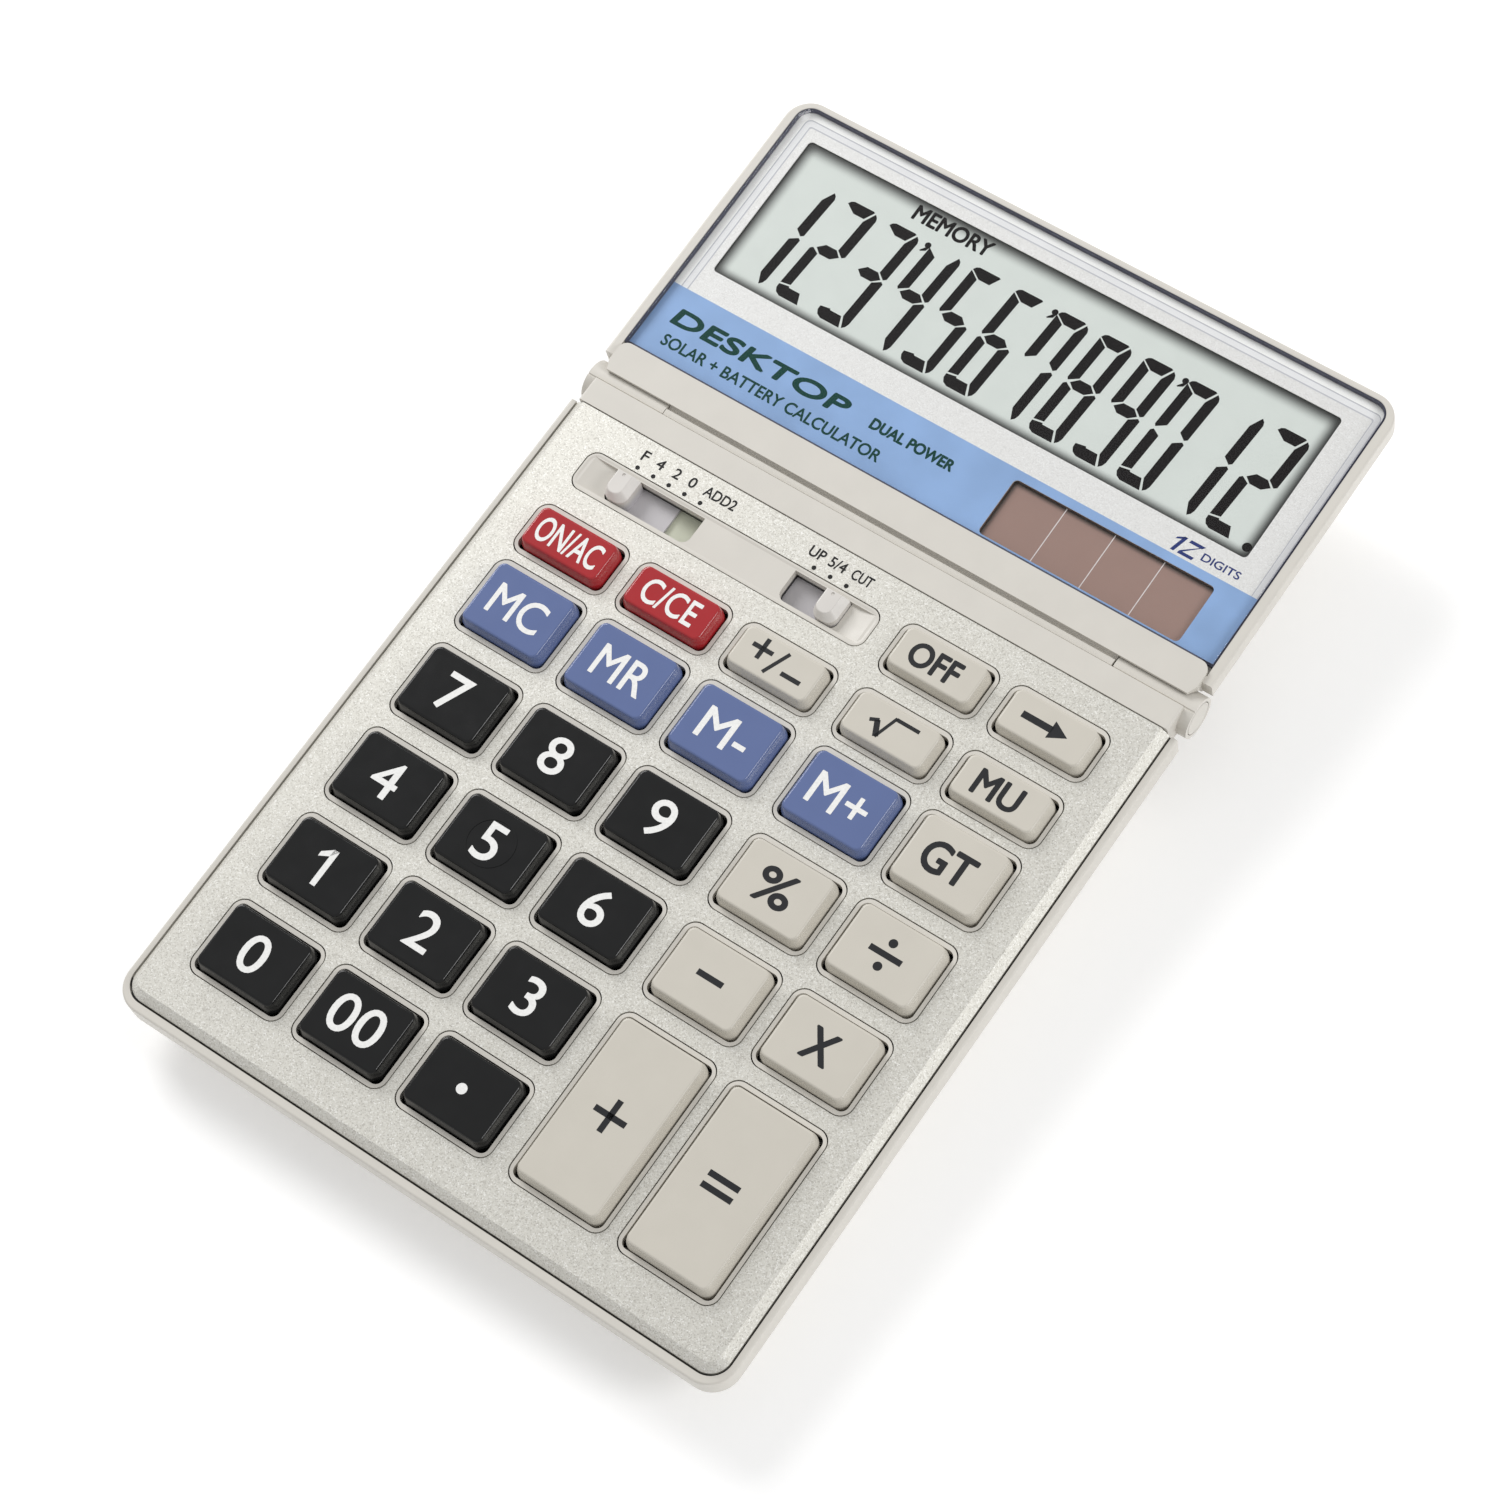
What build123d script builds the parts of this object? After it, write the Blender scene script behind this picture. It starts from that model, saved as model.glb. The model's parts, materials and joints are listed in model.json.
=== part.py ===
from build123d import *
import os
from math import cos, radians, sin

os.makedirs("parts", exist_ok=True)

# A twelve-digit desk calculator with a display head that tilts on a hinge at the back of the keyboard.
# Millimetres. +X is to the user's right, +Y is away from the user, +Z is up.
# The origin is on the desk, below the middle of the whole outline.
#
# Two sloping planes carry nearly everything:
#   deck - the top of the face plate. Its local Y runs back from the front edge, and its height is 0 there.
#   head - through the hinge axis, parallel to the display. Its local Y runs back from the axis.

# ---------------------------------------------------------------- driving dimensions
case_width = 109.6
case_depth = 115.1  # front edge to the rear ends of the side rims, along the deck
front_height = 12.0  # the face plate's level above the desk, at the front edge
deck_tilt = 3.0  # the keyboard slopes up to the back by this many degrees
head_tilt = 0.9  # the display at rest slopes this much more than the keyboard
head_length = 56.95  # hinge axis to the display's rear edge

fit_gap = 0.17  # between a part and the opening that it drops into
wall = 1.6

# face plate
plate_thickness = 2.0
plate_half_width = 53.5
plate_front = 1.7
plate_bevel = 1.3
plate_corner = 3.2

# upper case
rim_drop = 1.3  # the rim's top is this far below the face plate
rim_inner_half = 53.85
case_corner = 4.6
wall_bottom = 5.2  # depth of the parting line with the lower case
deck_underside = 3.4
bar_half_width = 53.1
bar_rise = 0.2  # both hinge bars stand this much above the plate and the lens
bar_front = 115.2
bar_rear_gap = 0.95  # the rear bar edge, ahead of the hinge axis

# hinge
hinge_along = 120.45
hinge_drop = 3.85
barrel_radius = 3.4
trough_radius = 3.6
groove_radius, line_radius = 0.5, 0.18  # hollows along the barrel, by the display bar and by the rear bar
seam_x = 40.75
barrel_left_gap = 0.13
barrel_right_gap = 0.3
pin_radius = 1.0
pin_clearance = 0.05
pin_inner_x = 33.0
cap_radius = 2.65
cap_thickness = 0.8

# keys
column_x = [-38.8, -19.7, -0.6, 19.75, 38.85]
row_pitch = 16.2
row_along = [15.9 + row_pitch * row for row in range(5)] + [93.7, 105.8]
key_width = 15.05
key_top_width = 13.8
key_rise = 2.1
key_corner = 1.7
collar_inner_width = 15.7
collar_outer_width = 16.9
flange_width = 16.7
# along the deck: collar outside, collar inside, key at the plate, key top
key_sizes = {
    "full": (13.35, 11.95, 11.55, 10.7),
    "short": (9.2, 7.8, 7.4, 6.6),
    "tall": (29.5, 28.1, 27.7, 26.8),
}
# the keys of each row, from the left; None where there is no key of its own
key_rows = [
    ["key_0", "key_00", "key_point", "key_plus", "key_equals"],
    ["key_1", "key_2", "key_3", None, None],
    ["key_4", "key_5", "key_6", "key_minus", "key_times"],
    ["key_7", "key_8", "key_9", "key_percent", "key_divide"],
    ["key_mc", "key_mr", "key_m_minus", "key_m_plus", "key_gt"],
    ["key_on_ac", "key_c_ce", "key_sign", "key_root", "key_mu"],
    [None, None, None, "key_off", "key_backspace"],
]
tall_keys = ["key_plus", "key_equals"]

# slide switches: a shallow dish in the plate with two slots
dish_low, dish_high = (-46.15, 102.35), (7.85, 109.4)
dish_depth = 0.15
ramp_depth = 0.7  # of the finger ramp at each end of the dish, where it meets the slot
dish_underside = 2.4
slot_front, slot_rear = 103.25, 108.45
switch_pitch = 2.93  # from one setting's dot to the next
switch_along = 105.85
decimal_x = -38.3
rounding_x = 0.25
decimal_steps = 4
rounding_steps = 2
knob_width, knob_length, knob_rise = 4.1, 4.8, 1.35
slide_half_length = 8.7

# boards, battery and case screws
board_top = 7.5
board_thickness = 1.0
board_half_width = 48.6
post_places = [(side * 47.4, along) for side in (-1, 1) for along in (5.6, 56.4, 99.75)]
post_radius = 1.45
post_hole = 0.62
foot_height = 1.0
battery_radius, battery_thickness = 5.8, 5.4

# display head, measured from the hinge axis
lens_thickness = 1.3
lens_bevel_width, lens_bevel_drop = 1.9, 0.14
lens_front, lens_rear = 7.05, 55.6
lens_half_width = 52.95
lens_corner = 2.4
head_rim_drop = 0.35
head_wall_height = 3.0
head_front_edge = 3.9
head_corner = 4.4
head_bar_front, head_bar_rear = 1.15, 6.65
bar_corner = 1.6
mask_thickness = 0.2
lcd_window = (-49.0, 47.7, 24.2, 51.0)
solar_window = (11.4, 46.5, 7.7, 18.0)
head_back_depth = 5.0
head_post_places = [(side * 48.8, along) for side in (-1, 1) for along in (9.2, 21.3)]
head_post_bottom = 2.0

# ---------------------------------------------------------------- planes and small helpers
tilt = radians(deck_tilt)
steep = radians(deck_tilt + head_tilt)
front_y = -(hinge_along * cos(tilt) + head_length * cos(steep)) / 2
deck = Plane(origin=(0, front_y, front_height), x_dir=(1, 0, 0), z_dir=(0, -sin(tilt), cos(tilt)))
hinge_point = deck.from_local_coords(Vector(0, hinge_along, -hinge_drop))
head = Plane(origin=hinge_point, x_dir=(1, 0, 0), z_dir=(0, -sin(steep), cos(steep)))
desk = Plane.XY
up_deck = Axis(deck.origin, deck.z_dir)
back_deck = Axis(deck.origin, deck.y_dir)
up_head = Axis(head.origin, head.z_dir)
back_head = Axis(head.origin, head.y_dir)
lens_top = hinge_drop
lens_bottom = lens_top - lens_thickness
mask_bottom = lens_bottom - mask_thickness
line_place = 0.2 - bar_rear_gap


def base_side(x):
    """The plane across the hinge at x. Its local axes run back along the deck and up from the hinge axis."""
    return Plane(origin=hinge_point + Vector(x, 0, 0), x_dir=deck.y_dir, z_dir=(1, 0, 0))


def head_side(x):
    """The same plane, turned to the display's slope."""
    return Plane(origin=hinge_point + Vector(x, 0, 0), x_dir=head.y_dir, z_dir=(1, 0, 0))


def on_barrel(back):
    """The barrel's height above the hinge axis, this far behind the axis."""
    return (barrel_radius**2 - back**2) ** 0.5


def span(x_low, x_high, y_low, y_high, radius=0.0, mode=Mode.ADD):
    """Draws a rectangle between two corners in the sketch that is open."""
    with Locations(((x_low + x_high) / 2, (y_low + y_high) / 2)):
        if radius:
            RectangleRounded(x_high - x_low, y_high - y_low, radius, mode=mode)
        else:
            Rectangle(x_high - x_low, y_high - y_low, mode=mode)


def tongue(half_width, square_end, round_end, radius):
    """Draws a plan outline with two square corners at one end and two round corners at the other."""
    span(-half_width, half_width, min(square_end, round_end), max(square_end, round_end), radius)
    inner = square_end + (2 * radius if round_end > square_end else -2 * radius)
    span(-half_width, half_width, min(square_end, inner), max(square_end, inner))


def finish(builder, name):
    """Labels a finished piece and writes its STEP file."""
    builder.part.label = name
    export_step(builder.part, f"parts/{name}.step")


def key_places():
    """Yields each key's name, size name, x and distance along the deck."""
    for row, names in enumerate(key_rows):
        for column, name in enumerate(names):
            if name is None:
                continue
            along = row_along[row]
            size = "short" if row > 4 else "full"
            if name in tall_keys:
                size = "tall"
                along = (row_along[0] + row_along[1]) / 2
            yield name, size, column_x[column], along


def draw_at_keys(width, size_index, radius, gap=0.0):
    """Draws one rounded rectangle at every key. size_index picks the length from key_sizes."""
    for _, size, x, along in key_places():
        length = key_sizes[size][size_index]
        with Locations((x, along)):
            RectangleRounded(width + 2 * gap, length + 2 * gap, radius)


def screw(plane, x, y, tip, seat, shank_radius, head_radius):
    """Adds one countersunk screw to the open part, from its tip down to its head's flat at seat."""
    with BuildSketch(plane.offset(seat)) as shank:
        with Locations((x, y)):
            Circle(shank_radius)
    extrude(shank.sketch, amount=tip - seat)
    with BuildSketch(plane.offset(seat)) as screw_head:
        with Locations((x, y)):
            Circle(head_radius)
    extrude(screw_head.sketch, amount=head_radius - shank_radius, taper=45)
    with BuildSketch(plane.offset(seat)) as cross:
        with Locations((x, y)):
            Rectangle(1.4 * head_radius, 0.35)
            Rectangle(0.35, 1.4 * head_radius)
    extrude(cross.sketch, amount=0.35, mode=Mode.SUBTRACT)


# ---------------------------------------------------------------- keys
flange_top = deck_underside + 0.1
flange_bottom = flange_top + 0.7
stem_bottom = flange_bottom + 0.3


def make_key(name, size, x, along):
    """A hollow key cap with tapered sides, a retaining flange under the case and a stem over its dome."""
    _, _, length, top_length = key_sizes[size]
    with BuildPart() as key:
        with BuildSketch(deck):
            with Locations((x, along)):
                RectangleRounded(key_width, length, key_corner)
        with BuildSketch(deck.offset(key_rise)):
            with Locations((x, along)):
                RectangleRounded(key_top_width, top_length, 1.0)
        loft(ruled=True)
        fillet(key.faces().sort_by(up_deck)[-1].edges(), 0.42)
        if name == "key_5":
            with BuildSketch(deck.offset(key_rise - 0.05)):
                with Locations((x, along)):
                    Circle(3.95)
                    Circle(3.6, mode=Mode.SUBTRACT)
            extrude(amount=0.13)
        with BuildSketch(deck):
            with Locations((x, along)):
                RectangleRounded(key_width, length, key_corner)
        extrude(amount=-flange_bottom)
        with BuildSketch(deck.offset(-flange_top)):
            with Locations((x, along)):
                RectangleRounded(flange_width, length + flange_width - key_width, 1.6)
        extrude(amount=flange_top - flange_bottom)
        with BuildSketch(deck.offset(-flange_bottom)):
            with Locations((x, along)):
                RectangleRounded(key_width - 2 * wall, length - 2 * wall, 0.5)
        extrude(amount=flange_bottom + 0.7, mode=Mode.SUBTRACT)
        with BuildSketch(deck.offset(-stem_bottom)):
            with Locations((x, along)):
                RectangleRounded(3.6, 3.0, 0.4)
        extrude(amount=stem_bottom + 1.0)
    finish(key, name)


for place in key_places():
    make_key(*place)


# ---------------------------------------------------------------- face plate
with BuildPart() as face_plate:
    with BuildSketch(deck.offset(-plate_thickness)):
        tongue(plate_half_width, case_depth - 0.05, plate_front, plate_corner)
    extrude(amount=plate_thickness)
    chamfer(face_plate.faces().sort_by(up_deck)[-1].edges().sort_by(back_deck)[:-1], plate_bevel)
    with BuildSketch(deck.offset(-plate_thickness)):
        draw_at_keys(collar_outer_width, 0, 2.2, gap=fit_gap)
        span(dish_low[0], dish_high[0], dish_low[1], dish_high[1], 2.0)
    extrude(amount=plate_thickness, mode=Mode.SUBTRACT)
finish(face_plate, "face_plate")

# ---------------------------------------------------------------- upper case
hinge_up = hinge_drop + bar_rise  # top of both hinge bars above the hinge axis
half_slot = knob_width / 2 + 0.1
# across the dish at the slots' front edge; its local Y runs down from the deck
across_dish = Plane(
    origin=deck.from_local_coords(Vector(0, slot_front, 0)),
    x_dir=(1, 0, 0),
    z_dir=deck.y_dir,
)

with BuildPart() as upper_case:
    # the bar behind the face plate
    with BuildSketch(base_side(-bar_half_width)):
        span(bar_front - hinge_along, -bar_rear_gap, hinge_drop - wall_bottom, hinge_up)
    extrude(amount=2 * bar_half_width)
    bar_ends = upper_case.faces().sort_by(up_deck)[-1].edges().sort_by(Axis.X)
    fillet([bar_ends[0], bar_ends[-1]], 0.35)

    # the rim and the deck under the plate
    with BuildSketch(deck.offset(-wall_bottom)):
        tongue(case_width / 2, case_depth, 0.0, case_corner)
    extrude(amount=wall_bottom - rim_drop)
    with BuildSketch(deck.offset(-wall_bottom)):
        span(-bar_half_width, bar_half_width, case_depth - 1, bar_front + 1)
    extrude(amount=wall_bottom - plate_thickness)
    rim_edges = upper_case.edges().filter_by_position(up_deck, -rim_drop - 0.01, -rim_drop + 0.01)
    fillet(rim_edges.filter_by_position(back_deck, -1, case_depth - 1), 0.35)
    with BuildSketch(deck.offset(-plate_thickness)):
        tongue(rim_inner_half, bar_front, plate_front - 0.35, plate_corner + 0.35)
    extrude(amount=plate_thickness - rim_drop + 0.5, mode=Mode.SUBTRACT)
    with BuildSketch(deck.offset(-wall_bottom)):
        tongue(case_width / 2 - wall - 0.2, bar_front - 1.6, wall + 0.2, case_corner - wall)
    extrude(amount=wall_bottom - deck_underside, mode=Mode.SUBTRACT)

    # the collars that stand in the plate's holes, and the dish round the slide switches
    with BuildSketch(deck.offset(-plate_thickness)):
        draw_at_keys(collar_outer_width, 0, 2.1)
        span(
            dish_low[0] + fit_gap,
            dish_high[0] - fit_gap,
            dish_low[1] + fit_gap,
            dish_high[1] - fit_gap,
            1.9,
        )
    extrude(amount=plate_thickness - 0.05)
    with BuildSketch(deck.offset(-deck_underside)):
        draw_at_keys(collar_inner_width, 1, 1.2)
    extrude(amount=deck_underside + 1, mode=Mode.SUBTRACT)
    with BuildSketch(deck.offset(-0.05)):
        span(dish_low[0] + 0.45, dish_high[0] - 0.45, dish_low[1] + 0.45, dish_high[1] - 0.45, 1.6)
    with BuildSketch(deck.offset(-dish_depth)):
        span(dish_low[0] + 0.8, dish_high[0] - 0.8, dish_low[1] + 0.8, dish_high[1] - 0.8, 1.3)
    loft(ruled=True, mode=Mode.SUBTRACT)
    for ramp_start, ramp_end in ((decimal_x - half_slot, dish_low[0]), (rounding_x + half_slot, dish_high[0])):
        run = abs(ramp_end - ramp_start) - 1.2
        ramp_radius = (run**2 + ramp_depth**2) / (2 * ramp_depth)
        with BuildSketch(across_dish):
            with Locations((ramp_start, dish_depth + ramp_depth - ramp_radius)):
                Circle(ramp_radius)
        extrude(amount=slot_rear - slot_front, mode=Mode.SUBTRACT)
    with BuildSketch(deck.offset(-deck_underside)):
        span(-49.5, 10.0, 101.6, 110.4)
    extrude(amount=deck_underside - dish_underside, mode=Mode.SUBTRACT)
    with BuildSketch(deck.offset(-dish_underside)):
        for start, steps in ((decimal_x, decimal_steps), (rounding_x, -rounding_steps)):
            with Locations((start + steps * switch_pitch / 2, 0)):
                tongue(abs(steps) * switch_pitch / 2 + half_slot, slot_rear, slot_front, 1.4)
    extrude(amount=dish_underside, mode=Mode.SUBTRACT)

    # hinge: a trough for the display's barrel, and a knuckle at each end
    with BuildSketch(base_side(-seam_x)):
        Circle(trough_radius)
    extrude(amount=2 * seam_x, mode=Mode.SUBTRACT)
    knuckle_length = case_width / 2 - seam_x
    for start, cap_side in ((-case_width / 2, -case_width / 2), (seam_x, case_width / 2 - cap_thickness)):
        with BuildSketch(base_side(start)):
            Circle(barrel_radius)
        extrude(amount=knuckle_length)
        with BuildSketch(base_side(start)):
            Circle(pin_radius)
        extrude(amount=knuckle_length, mode=Mode.SUBTRACT)
        with BuildSketch(base_side(cap_side)):
            Circle(cap_radius + 0.15)
        extrude(amount=cap_thickness, mode=Mode.SUBTRACT)
    for start in (-case_width / 2, seam_x):
        with BuildSketch(base_side(start)):
            with Locations((line_place, on_barrel(line_place))):
                Circle(line_radius)
        extrude(amount=knuckle_length, mode=Mode.SUBTRACT)

    # posts for the case screws
    with BuildSketch(deck.offset(-wall_bottom)):
        with Locations(*post_places):
            Circle(post_radius)
    extrude(amount=wall_bottom - deck_underside + 0.2)
    with BuildSketch(deck.offset(-wall_bottom)):
        with Locations(*post_places):
            Circle(post_hole)
    extrude(amount=2.4, mode=Mode.SUBTRACT)
finish(upper_case, "upper_case")

# ---------------------------------------------------------------- lower case
parting = wall_bottom + 0.05
lower_top = (case_width / 2 - 1.2, 1.2, 116.0)  # half width, front and rear along the deck
lower_foot = (50.4, front_y + 3.4, front_y + 111.8)  # half width, front and rear on the desk
door_low, door_high = (12.0, front_y + 87.0), (36.0, front_y + 106.0)
foot_places = [(side * 42.0, front_y + along) for side in (-1, 1) for along in (14.0, 103.5)]
foot_radius = 4.2

with BuildPart() as lower_case:
    with BuildSketch(deck.offset(-parting)):
        span(-lower_top[0], lower_top[0], lower_top[1], lower_top[2], 4.0)
    with BuildSketch(desk.offset(foot_height)):
        span(-lower_foot[0], lower_foot[0], lower_foot[1], lower_foot[2], 5.0)
    loft(ruled=True)
    with BuildSketch(deck.offset(-parting + 0.01)):
        span(-lower_top[0] + wall, lower_top[0] - wall, lower_top[1] + wall, lower_top[2] - wall, 2.6)
    with BuildSketch(desk.offset(foot_height + wall)):
        span(-lower_foot[0] + wall, lower_foot[0] - wall, lower_foot[1] + wall, lower_foot[2] - wall, 3.6)
    loft(ruled=True, mode=Mode.SUBTRACT)
    # a sleeve for each case screw, countersunk from below
    screw_seats = []
    for x, along in post_places:
        seat = (foot_height + 0.2 - front_height - along * sin(tilt)) / cos(tilt)
        screw_seats.append((x, along, seat))
        with BuildSketch(deck.offset(-parting)):
            with Locations((x, along)):
                Circle(post_radius)
        extrude(amount=-(-parting - seat - 0.6))
        with BuildSketch(deck.offset(-parting + 0.1)):
            with Locations((x, along)):
                Circle(post_hole)
        extrude(amount=-(-parting - seat + 1.0), mode=Mode.SUBTRACT)
        with BuildSketch(deck.offset(seat - 1.0)):
            with Locations((x, along)):
                Circle(1.4)
        extrude(amount=1.1, mode=Mode.SUBTRACT)
        with BuildSketch(deck.offset(seat + 0.1)):
            with Locations((x, along)):
                Circle(1.4)
        extrude(amount=0.85, taper=43, mode=Mode.SUBTRACT)
    # the opening for the battery door, with a ledge that the door rests on
    with BuildSketch(desk.offset(foot_height)):
        span(door_low[0], door_high[0], door_low[1], door_high[1], 1.0)
    extrude(amount=0.8, mode=Mode.SUBTRACT)
    with BuildSketch(desk.offset(foot_height)):
        span(door_low[0] + 1, door_high[0] - 1, door_low[1] + 1, door_high[1] - 1, 1.0)
    extrude(amount=wall + 0.1, mode=Mode.SUBTRACT)
    with BuildSketch(desk.offset(foot_height)):
        with Locations(*foot_places):
            Circle(foot_radius + 0.1)
    extrude(amount=0.4, mode=Mode.SUBTRACT)
finish(lower_case, "lower_case")

with BuildPart() as battery_door:
    with BuildSketch(desk.offset(foot_height + 0.05)):
        span(
            door_low[0] + fit_gap,
            door_high[0] - fit_gap,
            door_low[1] + fit_gap,
            door_high[1] - fit_gap,
            0.9,
        )
    extrude(amount=0.72)
    with BuildSketch(desk.offset(foot_height + 0.05)):
        with GridLocations(0, 1.6, 1, 5):
            with Locations(((door_low[0] + door_high[0]) / 2, door_high[1] - 5)):
                Rectangle(12.0, 0.6)
    extrude(amount=0.3, mode=Mode.SUBTRACT)
finish(battery_door, "battery_door")

with BuildPart() as rubber_feet:
    with BuildSketch(desk):
        with Locations(*foot_places):
            Circle(foot_radius)
    extrude(amount=foot_height + 0.35)
    fillet(rubber_feet.faces().sort_by(Axis.Z)[:4].edges(), 0.4)
finish(rubber_feet, "rubber_feet")

with BuildPart() as case_screws:
    for x, along, seat in screw_seats:
        screw(deck, x, along, -wall_bottom + 2.0, seat + 0.12, 0.55, 1.3)
finish(case_screws, "case_screws")

# ---------------------------------------------------------------- inside the lower half
mat_thickness = 0.6
dome_height = 1.3
mat_top = board_top - mat_thickness - 0.02

with BuildPart() as key_mat:
    with BuildSketch(deck.offset(-mat_top - mat_thickness)):
        span(-45.5, 45.5, 6.0, 99.0, 1.0)
        span(11.0, 45.5, 95.0, 111.0, 1.0)
    extrude(amount=mat_thickness)
    with BuildSketch(deck.offset(-mat_top)):
        with Locations(*[(x, along) for _, _, x, along in key_places()]):
            Circle(4.2)
    extrude(amount=dome_height, taper=20)
    with BuildSketch(deck.offset(-mat_top - mat_thickness)):
        with Locations(*[(x, along) for _, _, x, along in key_places()]):
            Circle(2.6)
    extrude(amount=mat_thickness + dome_height, mode=Mode.SUBTRACT)
finish(key_mat, "key_mat")

with BuildPart() as main_board:
    with BuildSketch(deck.offset(-board_top - board_thickness)):
        span(-board_half_width, board_half_width, 6.2, 111.5, 1.5)
        with Locations(*post_places):
            Circle(post_radius + 0.25, mode=Mode.SUBTRACT)
    extrude(amount=board_thickness)
finish(main_board, "main_board")

with BuildPart() as chip:
    with BuildSketch(deck.offset(-board_top - board_thickness)):
        with Locations((-14.0, 84.0)):
            Circle(6.0)
    extrude(amount=-1.2, taper=40)
finish(chip, "chip")

slide_top = dish_underside + 0.1
slide_thickness = 0.6
switch_top = slide_top + slide_thickness + 0.1

with BuildPart() as switch_base:
    with BuildSketch(deck.offset(-board_top)):
        span(-46.0, -19.0, 102.2, 109.8)
        span(-13.0, 8.5, 102.2, 109.8)
    extrude(amount=board_top - switch_top)
finish(switch_base, "switch_base")


def make_knob(name, x):
    """A switch knob on its slide. The top has a flat, a sloping right side and a small dimple."""
    with BuildPart() as knob:
        with BuildSketch(deck.offset(-slide_top - slide_thickness)):
            span(x - slide_half_length, x + slide_half_length, switch_along - 3.6, switch_along + 3.6)
        extrude(amount=slide_thickness)
        with BuildSketch(deck.offset(-slide_top)):
            with Locations((x, switch_along)):
                tongue(knob_width / 2, knob_length / 2, -knob_length / 2, 1.6)
        extrude(amount=slide_top + 0.3)
        with BuildSketch(deck.offset(0.3)):
            with Locations((x, switch_along)):
                tongue(knob_width / 2, knob_length / 2, -knob_length / 2, 1.6)
        with BuildSketch(deck.offset(knob_rise)):
            with Locations((x - 0.45, switch_along)):
                tongue(knob_width / 2 - 0.75, knob_length / 2 - 0.15, 0.8 - knob_length / 2, 1.2)
        loft(ruled=True)
        fillet(knob.faces().sort_by(up_deck)[-1].edges(), 0.22)
        with BuildSketch(deck.offset(knob_rise)):
            with Locations((x - 0.45, switch_along + 1.75)):
                Circle(0.28)
        extrude(amount=-0.15, mode=Mode.SUBTRACT)
    finish(knob, name)


make_knob("decimal_knob", decimal_x)
make_knob("rounding_knob", rounding_x)

battery_x = (door_low[0] + door_high[0]) / 2
battery_y = (door_low[1] + door_high[1]) / 2
battery_bottom = foot_height + 0.85

with BuildPart() as battery:
    with BuildSketch(desk.offset(battery_bottom)):
        with Locations((battery_x, battery_y)):
            Circle(battery_radius - 0.5)
    extrude(amount=battery_thickness)
    with BuildSketch(desk.offset(battery_bottom + 0.5)):
        with Locations((battery_x, battery_y)):
            Circle(battery_radius)
    extrude(amount=battery_thickness - 0.5)
finish(battery, "battery")

with BuildPart() as battery_contacts:
    contact_level = battery_bottom + battery_thickness + 0.05
    with BuildSketch(desk.offset(contact_level)):
        span(battery_x - 9.0, battery_x + 4.0, battery_y - 2.0, battery_y + 2.0)
    extrude(amount=0.3)
    with BuildSketch(desk.offset(contact_level)):
        span(battery_x - 9.0, battery_x - 8.6, battery_y - 2.0, battery_y + 2.0)
    extrude(amount=1.0)
    with BuildSketch(desk.offset(battery_bottom + 1.0)):
        span(battery_x + 5.9, battery_x + 6.2, battery_y - 2.0, battery_y + 2.0)
    extrude(amount=battery_thickness)
finish(battery_contacts, "battery_contacts")

# ---------------------------------------------------------------- hinge pins and end caps
with BuildPart() as hinge_pins:
    pin_length = case_width / 2 - cap_thickness - 0.1 - pin_inner_x
    for start in (-pin_inner_x - pin_length, pin_inner_x):
        with BuildSketch(base_side(start)):
            Circle(pin_radius - 0.01)
        extrude(amount=pin_length)
finish(hinge_pins, "hinge_pins")

with BuildPart() as hinge_caps:
    for start in (-case_width / 2, case_width / 2 - cap_thickness + 0.05):
        with BuildSketch(base_side(start)):
            Circle(cap_radius)
        extrude(amount=cap_thickness - 0.05)
finish(hinge_caps, "hinge_caps")

# ---------------------------------------------------------------- display head
wall_low = lens_top - head_rim_drop - head_wall_height
barrel_start = -seam_x + barrel_left_gap
barrel_end = seam_x - barrel_right_gap
pocket_half = lens_half_width + 0.3
pocket_rear = lens_rear + 0.3

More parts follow.
